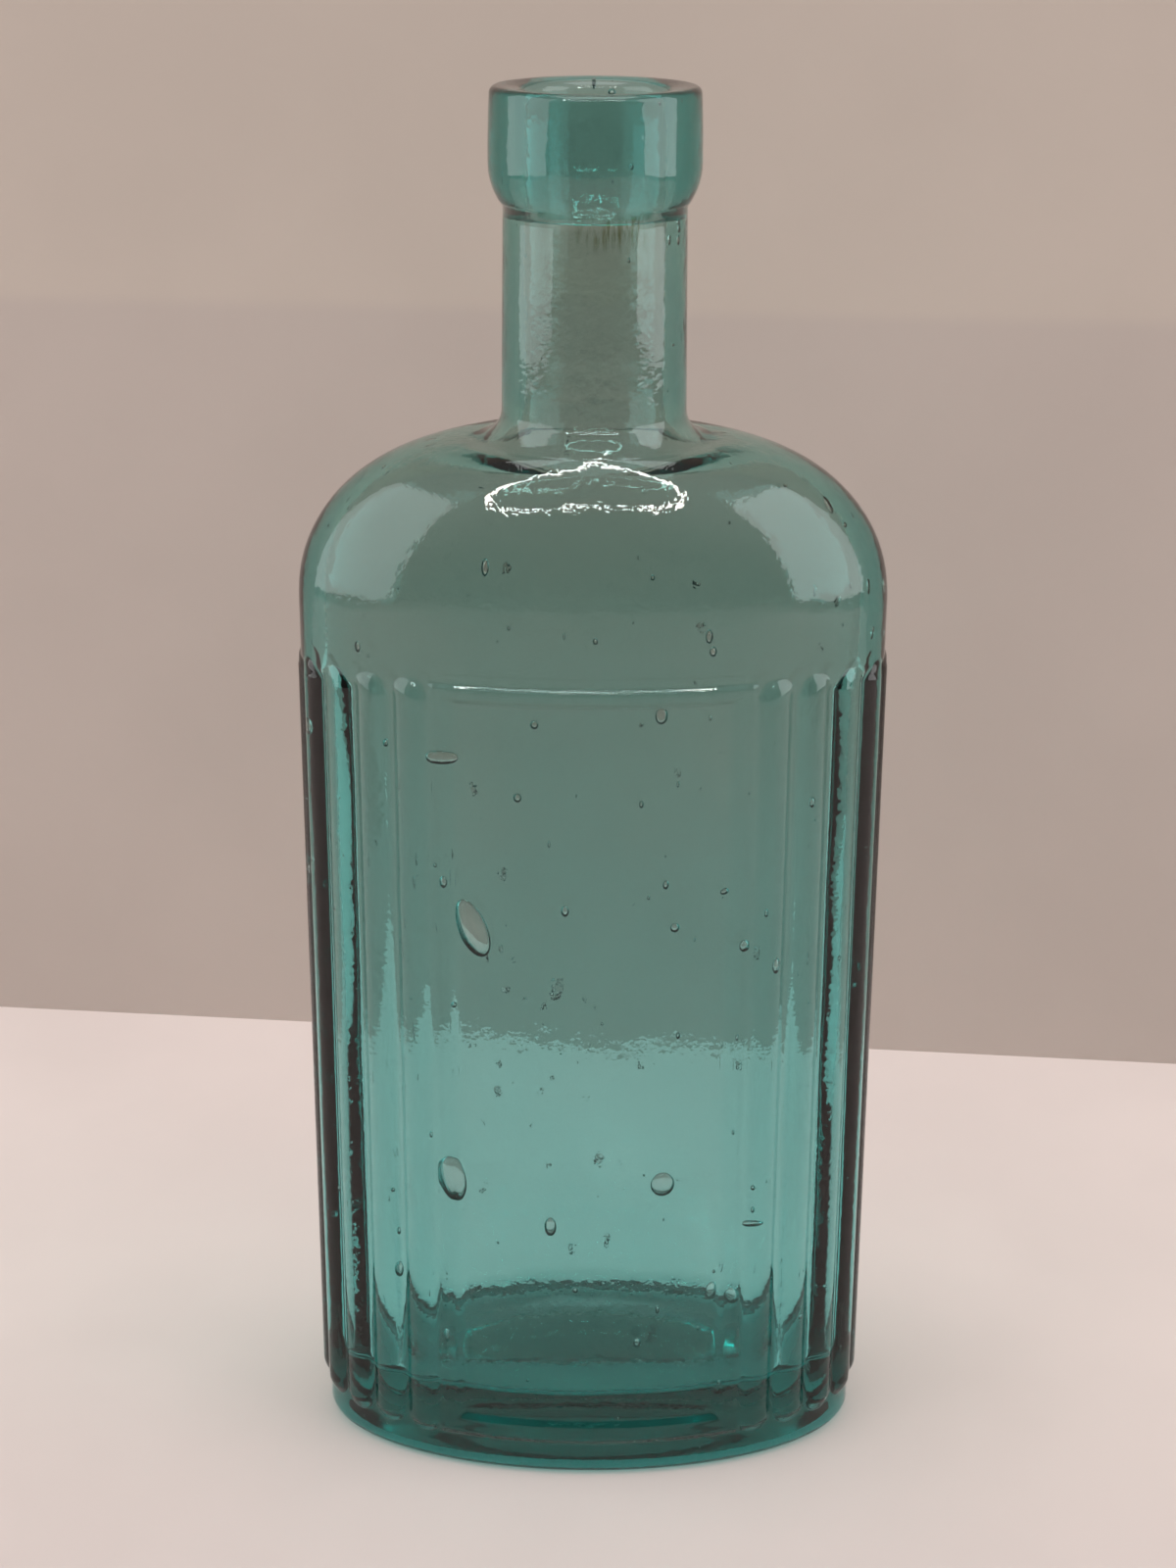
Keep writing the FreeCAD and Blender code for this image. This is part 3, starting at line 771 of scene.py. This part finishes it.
@dataclass
class GlassSkin:
    """The whole skin of the bottle: outside from the foot's middle to the mouth, then down inside."""

    sizes: BottleSizes
    finish: AquaGlass = AquaGlass()
    counts: RingCounts = RingCounts()
    oval_samples: int = 4001
    rib_steps: int = 14
    panel_step: float = 1.0 * MM
    edge_step: float = 0.36 * MM
    softness: float = 0.12 * MM
    wander: float = 1.1 * MM
    wander_length: float = 26.0 * MM
    wall_sink: float = 0.06
    shoulder_sink: float = 0.15
    neck_sink: float = 0.12
    bore_wander: float = 0.35
    root_wander: float = 0.5
    ceiling_wander: float = 0.8
    neck_seeds: float = 0.4
    lip_seeds: float = 0.5
    seed_density: float = 9000.0
    seed_least_depth: float = 0.8 * MM
    seed_most_depth: float = 2.2 * MM
    seed_least_size: float = 0.2 * MM
    seed_most_size: float = 1.5 * MM
    seed_rarity: float = 4.0
    seed_stretch: float = 1.6
    random_seed: int = 7
    blister_around: int = 24
    blister_rows: int = 14

    def seam_arcs(self) -> np.ndarray:
        """Places along a quarter of the wall's oval, from a mould seam to the middle of a panel.

        They are close where the relief bends: round each rib, and on the slopes of the frame.
        """
        s = self.sizes
        turn, arc = self.oval()
        last = (s.ribs_each_way + 0.5) * s.rib_pitch
        ribs = np.linspace(0.0, last, self.rib_steps * (2 * s.ribs_each_way + 1) // 2 + 1)
        inner = s.frame_half_width - s.frame_bar - s.frame_slope / 4
        inner_arc = np.interp(-inner, -s.half_width * np.cos(turn), arc)
        frame_arcs = steps(last, inner_arc, math.ceil((inner_arc - last) / self.edge_step))
        panel_arcs = steps(inner_arc, arc[-1], math.ceil((arc[-1] - inner_arc) / self.panel_step))
        return np.concatenate([ribs, frame_arcs, panel_arcs])

    def oval(self) -> tuple[np.ndarray, np.ndarray]:
        """Angles along a quarter of the wall's oval, and the oval's length from its seam to each."""
        s = self.sizes
        turn = np.linspace(0.0, QUARTER, self.oval_samples)
        middle = (turn[1:] + turn[:-1]) / 2
        pace = np.hypot(s.half_width * np.sin(middle), s.half_depth * np.cos(middle))
        return turn, np.concatenate([[0.0], np.cumsum(pace * np.diff(turn))])

    def outside(self) -> list[Ring]:
        """The outer rings, from the middle of the foot to the mouth."""
        s, counts = self.sizes, self.counts
        foot_in = s.heel_radius + s.foot_width
        rings = []

        def wall(inset: float, height: float, **freedom: float) -> None:
            rings.append(Ring(s.half_width - inset, s.half_depth - inset, height, **freedom))

        for share in steps(0.0, 1.0, counts.foot):
            lift = s.push_up * (1 + math.cos(math.pi * share)) / 2
            rings.append(Ring((s.half_width - foot_in) * share, (s.half_depth - foot_in) * share, lift))
        for inset in steps(foot_in, s.heel_radius, counts.stand):
            wall(inset, 0.0)
        for turn in steps(0.0, QUARTER, counts.heel):
            wall(s.heel_radius * (1 - math.sin(turn)), s.heel_radius * (1 - math.cos(turn)))
        edge = s.frame_bar + s.frame_slope / 4
        low, high = s.relief_bottom - s.frame_slope / 8, s.relief_top + s.frame_slope / 8
        collar = s.relief_top - s.collar_overlap
        for start, stop, count in (
            (s.heel_radius, low, counts.plain),
            (low, s.relief_bottom + edge, counts.lower_edge),
            (s.relief_bottom + edge, s.relief_top - edge, counts.panel),
            (s.relief_top - edge, high, counts.ledge),
            (high, s.shoulder_start, counts.plain),
        ):
            for height in steps(start, stop, count):
                step = min(max((height - collar) / s.collar_slope, 0.0), 1.0)
                back = (height - s.heel_radius) / (s.shoulder_start - s.heel_radius)
                wall(
                    0.0,
                    height,
                    front_swell=eased(step),
                    back_swell=back,
                    pressed=1.0,
                    seeded=1.0,
                    wander_in=self.wall_sink,
                )
        root = s.neck_root + s.neck_root_radius
        side = s.half_width + s.collar_side_step
        for turn in steps(0.0, QUARTER, counts.shoulder):
            half_width = root + (side - root) * math.cos(turn)
            climb = s.shoulder_rise * math.sin(turn)
            place = (half_width, s.front_sweep(climb), s.shoulder_start + climb)
            rings.append(Ring(*place, wander_in=self.shoulder_sink, seeded=1.0))
        for place in self.neck_line():
            rings.append(Ring(*place, wander_in=self.neck_sink, seeded=self.neck_seeds))
        for radius, height in self.lip_line():
            rings.append(Ring(radius, radius, height, seeded=self.lip_seeds if height < s.height else 0.0))
        return rings

    def neck_line(self) -> list[Point]:
        """Half width, half depth and height along the neck's outside, from its root to the lip."""
        s = self.sizes
        line = []
        for turn in steps(0.0, QUARTER, self.counts.root):
            half_width = s.neck_root + s.neck_root_radius * (1 - math.sin(turn))
            climb = s.neck_root_radius * (1 - math.cos(turn))
            line.append((half_width, s.front_sweep(s.shoulder_rise + climb), s.shoulder_top + climb))
        start = s.shoulder_top + s.neck_root_radius
        for share in steps(0.0, 1.0, self.counts.neck):
            radius = s.neck_root + (s.neck_top - s.neck_root) * share
            line.append((radius, radius, start + (s.lip_bottom - start) * share))
        return line

    def lip_line(self) -> list[tuple[float, float]]:
        """Radius and height round the lip's outside, from the neck over the top to the mouth."""
        s, counts = self.sizes, self.counts
        overhang = s.lip_radius - s.lip_foot
        under = arc_radius(overhang, s.lip_under_height)
        middle = s.lip_bottom + s.lip_under_height
        reach = math.asin(s.lip_under_height / under)
        line = [
            (s.lip_radius - under * (1 - math.cos(t)), middle - under * math.sin(t))
            for t in np.linspace(reach, 0.0, counts.lip_under + 1)
        ]
        side_top = s.height - s.lip_edge_radius
        for share in steps(0.0, 1.0, counts.lip_side):
            line.append((s.lip_radius - s.lip_barrel * share**2, middle + (side_top - middle) * share))
        edge_in = s.lip_radius - s.lip_barrel - s.lip_edge_radius
        for t in steps(0.0, QUARTER, counts.lip_edge):
            across, up = s.lip_edge_radius * math.cos(t), s.lip_edge_radius * math.sin(t)
            line.append((edge_in + across, side_top + up))
        mouth = s.bore + s.mouth_radius
        for share in steps(0.0, 1.0, counts.lip_top):
            line.append((edge_in + (mouth - edge_in) * share, s.height - s.lip_dish * share**2))
        for t in steps(0.0, QUARTER, counts.mouth):
            drop = s.lip_dish + s.mouth_radius * (1 - math.cos(t))
            line.append((mouth - s.mouth_radius * math.sin(t), s.height - drop))
        return line

    def inside(self) -> list[Ring]:
        """The inner rings, from the bore's top down to the middle of the floor."""
        s, counts = self.sizes, self.counts
        top = s.height - s.lip_dish - s.mouth_radius
        ceiling = s.shoulder_top - s.shoulder_wall
        root = s.bore + s.inner_root_radius
        half_width, half_depth = s.half_width - s.side_wall, s.half_depth - s.front_wall
        rings = []
        for height in steps(top, ceiling + s.inner_root_radius, counts.bore):
            rings.append(Ring(s.bore, s.bore, height, wander=self.bore_wander))
        for turn in steps(0.0, QUARTER, counts.inner_root):
            root_width = s.bore + s.inner_root_radius * (1 - math.cos(turn))
            root_depth = s.bore + s.inner_root_reach * math.sin(turn) ** 2
            height = ceiling + s.inner_root_radius * (1 - math.sin(turn))
            rings.append(Ring(root_width, root_depth, height, wander=self.root_wander))
        rise = ceiling - s.shoulder_start
        run = half_depth - s.bore - s.inner_root_reach
        for turn in steps(QUARTER, 0.0, counts.ceiling):
            climb = rise * math.sin(turn)
            depth = along_arc(half_depth, run, rise, climb)
            width = root + (half_width - root) * math.cos(turn)
            rings.append(Ring(width, depth, s.shoulder_start + climb, wander=self.ceiling_wander))
        rim_top = s.base + s.floor_radius
        for height in steps(s.shoulder_start, rim_top, counts.belly):
            rings.append(Ring(half_width, half_depth, height, wander=1.0))
        for turn in steps(0.0, QUARTER, counts.floor_edge):
            inset = s.floor_radius * (1 - math.cos(turn))
            height = s.base + s.floor_radius * (1 - math.sin(turn))
            rings.append(Ring(half_width - inset, half_depth - inset, height, wander=1.0))
        floor_width, floor_depth = half_width - s.floor_radius, half_depth - s.floor_radius
        for share in steps(1.0, 0.0, counts.floor)[:-1]:
            lift = s.floor_swell * (1 + math.cos(math.pi * share)) / 2
            rings.append(Ring(floor_width * share, floor_depth * share, s.base + lift, wander=1.0))
        return rings

    def skin_mesh(self) -> bpy.types.Mesh:
        """The skin before its relief, with the blisters in its wall.

        Returns:
            The mesh. Its points hold the attributes that the relief and the seeds read.
        """
        s = self.sizes
        arcs = self.seam_arcs()
        turn, arc = self.oval()
        quarter = np.interp(arcs, arc, turn)
        loops = (quarter, math.pi - quarter[::-1], math.pi + quarter, 2 * math.pi - quarter[::-1])
        turns = np.concatenate([loop[:-1] for loop in loops])
        seam = np.concatenate([a[:-1] for a in (arcs, arcs[::-1], arcs, arcs[::-1])])
        outer, inner = self.outside(), self.inside()
        behind = eased(np.clip(seam / (s.rib_width / 2), 0.0, 1.0) * (np.sin(turns) > 0))
        points = [np.array([[0.0, 0.0, s.push_up]])]
        points += [self.ring_points(ring, turns, behind) for ring in outer]
        points += [self.ring_points(ring, turns[::2], behind[::2]) for ring in inner]
        points.append(np.array([[0.0, 0.0, s.base + s.floor_swell]]))
        faces = self.faces(len(turns), len(outer), len(inner))
        count = sum(len(p) for p in points)
        for blister in BLISTERS:
            shell, shell_faces = self.blister(blister)
            faces += [tuple(count + v for v in face) for face in shell_faces]
            points.append(shell)
            count += len(shell)
        mesh = bpy.data.meshes.new("bottle_glass")
        mesh.from_pydata(np.concatenate(points).tolist(), [], faces)
        for name in ("pressed", "wander", "wander_in", "seeded"):
            values = [0.0]
            values += [getattr(ring, name) for ring in outer for _ in turns]
            values += [getattr(ring, name) for ring in inner for _ in turns[::2]]
            self.store(mesh, name, values)
        self.store(mesh, "seam_arc", [0.0] + seam.tolist() * len(outer))
        self.store(mesh, "front", [0.0] + (np.sin(turns) < ROUNDING).astype(float).tolist() * len(outer))
        across, along = np.cos(turns) / s.half_width, np.sin(turns) / s.half_depth
        step = s.collar_side_step * np.cos(turns) * across + s.collar_front_step * np.sin(turns) * along
        step = step / np.hypot(across, along)
        self.store(mesh, "raised", np.concatenate([[0.0], *(step * ring.swell(behind) for ring in outer)]))
        return mesh

    def build(self) -> bpy.types.Object:
        """Makes the skin, presses the relief, and puts blisters and seeds into the wall.

        Returns:
            The finished piece.
        """
        s = self.sizes
        mesh = self.skin_mesh()
        piece = stand(mesh.name, mesh)
        glass = self.finish.material(s)
        mesh.materials.append(glass)
        relief = {
            "Rib Pitch": s.rib_pitch,
            "Rib Width": s.rib_width,
            "Rib Height": s.rib_height,
            "Ribs Each Way": float(s.ribs_each_way),
            "Relief Bottom": s.relief_bottom,
            "Relief Top": s.relief_top,
            "Frame Height": s.frame_height,
            "Frame Half Width": s.frame_half_width,
            "Frame Bar": s.frame_bar,
            "Frame Slope": s.frame_slope,
            "Ledge Sharpness": s.ledge_sharpness,
            "Softness": self.softness,
            "Wander": self.wander,
            "Wander Length": self.wander_length,
            "Finish": glass,
        }
        seeds = {
            "Density": self.seed_density,
            "Least Depth": self.seed_least_depth,
            "Most Depth": self.seed_most_depth,
            "Least Size": self.seed_least_size,
            "Most Size": self.seed_most_size,
            "Rarity": self.seed_rarity,
            "Stretch": self.seed_stretch,
            "Random Seed": self.random_seed,
            "Finish": glass,
        }
        relief_tree(relief).apply(piece)
        seed_tree(seeds).apply(piece)
        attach(piece, BODY)
        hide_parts("bottle_body", "applied_lip")
        return piece

    def ring_points(self, ring: Ring, turns: np.ndarray, behind: np.ndarray) -> np.ndarray:
        """The points of one ring.

        Args:
            ring: the ring.
            turns: the angle of each point.
            behind: 1 for points on the back, 0 for those in front.

        Returns:
            The points, one to a row.
        """
        swell = ring.swell(behind)
        half_width = ring.half_width + swell * self.sizes.collar_side_step
        half_depth = ring.half_depth + swell * self.sizes.collar_front_step
        level = np.full_like(turns, ring.height)
        return np.stack([half_width * np.cos(turns), half_depth * np.sin(turns), level], axis=1)

    @staticmethod
    def store(mesh: bpy.types.Mesh, name: str, values: list[float] | np.ndarray) -> None:
        """Keeps a value for each point under a name. Points past the list hold zero."""
        full = np.zeros(len(mesh.vertices), np.float32)
        full[: len(values)] = values
        mesh.attributes.new(name, "FLOAT", "POINT").data.foreach_set("value", full)

    @staticmethod
    def faces(around: int, outer: int, inner: int) -> list[Face]:
        """Faces between the rings. The inner rings have half as many points as the outer ones."""
        half = around // 2
        inside_start = 1 + around * outer
        made: list[Face] = [(0, 1 + (j + 1) % around, 1 + j) for j in range(around)]
        for i in range(outer - 1):
            made += band(1 + i * around, 1 + (i + 1) * around, around)
        rim = 1 + (outer - 1) * around
        for k in range(half):
            a, b, c = rim + 2 * k, rim + 2 * k + 1, rim + (2 * k + 2) % around
            d, e = inside_start + k, inside_start + (k + 1) % half
            made += [(a, b, d), (b, c, e), (b, e, d)]
        for i in range(inner - 1):
            made += band(inside_start + i * half, inside_start + (i + 1) * half, half)
        last = inside_start + (inner - 1) * half
        return made + [(last + j, last + (j + 1) % half, last + half) for j in range(half)]

    def blister(self, blister: Blister) -> tuple[np.ndarray, list[Face]]:
        """Points and faces of one large bubble, which face into the bubble.

        Args:
            blister: the bubble.

        Returns:
            The points, one to a row, and the faces by the numbers of their points.
        """
        s = self.sizes
        around, rows = self.blister_around, self.blister_rows
        depth = s.wall_depth_at(blister.x)
        out = Vector((blister.x / s.half_width**2, -depth / s.half_depth**2, 0.0)).normalized()
        up = Vector((0.0, 0.0, 1.0))
        aside = up.cross(out)
        tilt = math.radians(blister.tilt)
        wide = aside * math.cos(tilt) + up * math.sin(tilt)
        tall = up * math.cos(tilt) - aside * math.sin(tilt)
        centre = Vector((blister.x, -depth, blister.z)) - out * blister.depth
        points = []
        for row in range(1, rows):
            lat = math.pi * row / rows
            for j in range(around):
                lon = 2 * math.pi * j / around
                points.append(
                    centre
                    + wide * (blister.width / 2 * math.sin(lat) * math.cos(lon))
                    + out * (blister.thickness / 2 * math.sin(lat) * math.sin(lon))
                    + tall * (blister.length / 2 * math.cos(lat))
                )
        points += [centre + tall * (blister.length / 2), centre - tall * (blister.length / 2)]
        top, bottom = len(points) - 2, len(points) - 1
        faces: list[Face] = []
        for row in range(rows - 2):
            faces += band(row * around, (row + 1) * around, around)
        for j in range(around):
            k = (j + 1) % around
            faces.append((top, k, j))
            faces.append(((rows - 2) * around + j, (rows - 2) * around + k, bottom))
        array = np.array([tuple(p) for p in points])
        return array, self.facing_in(array, faces)

    @staticmethod
    def facing_in(points: np.ndarray, faces: list[Face]) -> list[Face]:
        """The faces of a closed shell, turned round if they face out of it."""
        centre = points.mean(axis=0)
        face = max(faces, key=len)
        a, b, c = (points[v] for v in face[:3])
        outwards = np.dot(np.cross(b - a, c - a), a - centre) > 0
        return [f[::-1] for f in faces] if outwards else faces


# The studio


@dataclass(frozen=True)
class SoftLamp:
    """A soft oblong lamp: where it hangs, the point that it faces, its width and height, and its watts."""

    name: str
    place: Point
    aim: Point
    size: tuple[float, float]
    power: float

    def hang(self) -> None:
        """Hangs the lamp in the studio."""
        data = bpy.data.lights.new(self.name, "AREA")
        data.shape = "RECTANGLE"
        data.size, data.size_y = self.size
        data.energy = self.power
        lamp = stand(self.name, data)
        lamp.location = self.place
        way = Vector(self.aim) - Vector(self.place)
        lamp.rotation_euler = way.to_track_quat("-Z", "Y").to_euler()
        LOG.info("%s lamp of %.1f W", self.name, self.power)


@dataclass
class Studio:
    """A pale paper sweep, soft lamps, and the camera at the photograph's angle."""

    camera_place: Point = (-0.62 * MM, -361.17 * MM, 244.16 * MM)
    camera_pitch: float = 20.63
    camera_roll: float = 0.25
    camera_focus: float = 2620.9
    camera_near: float = 10.0 * MM
    frame_height: float = 1600.0
    sensor: float = 36.0
    wall_distance: float = 134.6 * MM
    wall_turn: float = -5.7
    floor_reach: float = 900.0 * MM
    wall_reach: float = 900.0 * MM
    # Painted shade: the floor darkens towards the front, and the wall is darker below its fold.
    floor_paper: PaperFinish = PaperFinish(
        "floor_paper", (0.78, 0.68, 0.65, 1.0), (0.78, 0.68, 0.65, 1.0), painted_near_shade=0.86
    )
    wall_paper: PaperFinish = PaperFinish("wall_paper", (0.525, 0.445, 0.405, 1.0), (0.56, 0.475, 0.42, 1.0))
    room_colour: Colour = (0.53, 0.50, 0.48, 1.0)
    front_colour: Colour = (0.16, 0.15, 0.145, 1.0)
    front_from: float = 0.1
    front_to: float = 0.7
    hoop_middle: Point = (-0.015, -0.357, 0.42)
    hoop_half_width: float = 0.205
    hoop_half_depth: float = 0.14
    hoop_squareness: float = 2.9
    hoop_dip: float = 0.058
    hoop_dip_width: float = 0.085
    hoop_strip: float = 0.013
    hoop_steps: int = 160
    hoop_glow: float = 30.0
    hoop_colour: Colour = (1.0, 0.97, 0.92, 1.0)
    lamps: tuple[SoftLamp, ...] = (
        SoftLamp("overhead", (0.0, -0.10, 0.85), (0.0, 0.02, 0.0), (0.6, 0.5), 2.2),
        SoftLamp("left_side", (-0.62, -0.02, 0.36), (0.0, 0.0, 0.20), (1.0, 0.66), 3.6),
        SoftLamp("right_side", (0.62, -0.02, 0.36), (0.0, 0.0, 0.20), (1.0, 0.66), 4.9),
    )
    glass_bounces: int = 28
    glossy_bounces: int = 8

    def build(self) -> None:
        """Sets up everything that isn't part of the bottle."""
        self.camera()
        self.papers()
        self.world()
        self.hoop()
        for lamp in self.lamps:
            lamp.hang()
        bpy.context.scene.view_settings.view_transform = "Standard"
        cycles = bpy.context.scene.cycles
        cycles.max_bounces = self.glass_bounces
        cycles.transmission_bounces = self.glass_bounces
        cycles.glossy_bounces = self.glossy_bounces

    def camera(self) -> None:
        """The camera, fitted to the photograph's outline of the bottle."""
        data = bpy.data.cameras.new("camera")
        data.sensor_width = self.sensor
        data.lens = self.camera_focus / self.frame_height * self.sensor
        data.clip_start = self.camera_near
        eye = stand(data.name, data)
        eye.location = self.camera_place
        look = Euler((math.radians(90 - self.camera_pitch), 0.0, 0.0)).to_matrix()
        roll = Euler((0.0, 0.0, math.radians(self.camera_roll))).to_matrix()
        eye.rotation_euler = (look @ roll).to_euler()
        bpy.context.scene.camera = eye

    def papers(self) -> None:
        """The floor, and the wall behind the bottle, which is turned a little."""
        half, far = self.floor_reach, self.wall_distance
        lean = half * math.tan(math.radians(self.wall_turn))
        left, right = (-half, far - lean), (half, far + lean)
        floor = [(-half, -half, 0.0), (half, -half, 0.0), (*right, 0.0), (*left, 0.0)]
        self.prop("floor", floor, [(0, 1, 2, 3)], self.floor_paper.material())
        wall = [(*left, 0.0), (*right, 0.0), (*right, self.wall_reach), (*left, self.wall_reach)]
        self.prop("wall", wall, [(0, 1, 2, 3)], self.wall_paper.material())

    @staticmethod
    def prop(
        name: str, points: list[Point], faces: list[Face], finish: bpy.types.Material
    ) -> bpy.types.Object:
        """Adds a mesh to the stage, which isn't part of the bottle.

        Args:
            name: its name.
            points: its points.
            faces: its faces, by the numbers of their points.
            finish: its material.

        Returns:
            The new object.
        """
        mesh = bpy.data.meshes.new(name)
        mesh.from_pydata(points, [], faces)
        mesh.materials.append(finish)
        piece = stand(name, mesh)
        LOG.info("%s of %s has %d faces", name, finish.name, len(faces))
        return piece

    def world(self) -> None:
        """Soft light from the pale walls round the bottle, less of it from the room behind the camera."""
        world = bpy.data.worlds.new("room")
        world.use_nodes = True
        s = Sums(world.node_tree)
        way = s.node("ShaderNodeTexCoord").outputs["Generated"]
        split = s.split(way)
        front = s.minus(s.times(split["Y"], -1.0), split["Z"])
        colour = s.blend(s.ramp(front, self.front_from, self.front_to), self.room_colour, self.front_colour)
        s.feed(world.node_tree.nodes["Background"].inputs["Color"], colour)
        bpy.context.scene.world = world

    def hoop_edge(self, outwards: float) -> list[Point]:
        """Points along one edge of the hoop's strip.

        Args:
            outwards: how far the edge lies outside the strip's middle line.

        Returns:
            The points, in order round a squarish oval whose back edge dips forwards in the middle.
        """
        x, y, z = self.hoop_middle
        width, depth = self.hoop_half_width + outwards, self.hoop_half_depth + outwards
        square = self.hoop_squareness
        points = []
        for turn in np.linspace(0.0, 2 * math.pi, self.hoop_steps, endpoint=False):
            across, along = np.cos(turn), np.sin(turn)
            corner = (abs(across) ** square + abs(along) ** square) ** (-1 / square)
            aside, back = width * across * corner, depth * along * corner
            if along > 0:
                back -= self.hoop_dip * math.exp(-((aside / self.hoop_dip_width) ** 2))
            points.append((x + aside, y + back, z))
        return points

    def hoop(self) -> None:
        """A level hoop of bright strip above the bottle's front, seen only as glints on the glass."""
        points = self.hoop_edge(-self.hoop_strip / 2) + self.hoop_edge(self.hoop_strip / 2)
        glow, s = blank_material("strip_glow")
        shine = s.node("ShaderNodeEmission", {"Color": self.hoop_colour, "Strength": self.hoop_glow})
        s.node("ShaderNodeOutputMaterial", {"Surface": shine.outputs[0]})
        glow.cycles.emission_sampling = "NONE"
        piece = self.prop("lamp_hoop", points, band(0, self.hoop_steps, self.hoop_steps), glow)
        piece.visible_camera = False
        piece.visible_diffuse = False
        piece.visible_shadow = False


def main() -> None:
    """Builds the bottle's looks and the studio round it."""
    logging.basicConfig(level=logging.INFO, format="%(name)s: %(message)s")
    sizes = BottleSizes.from_frame()
    glass = GlassSkin(sizes).build()
    LOG.info("%s has %d faces", glass.name, len(glass.data.polygons))
    Studio().build()


if __name__ == "__main__":
    main()
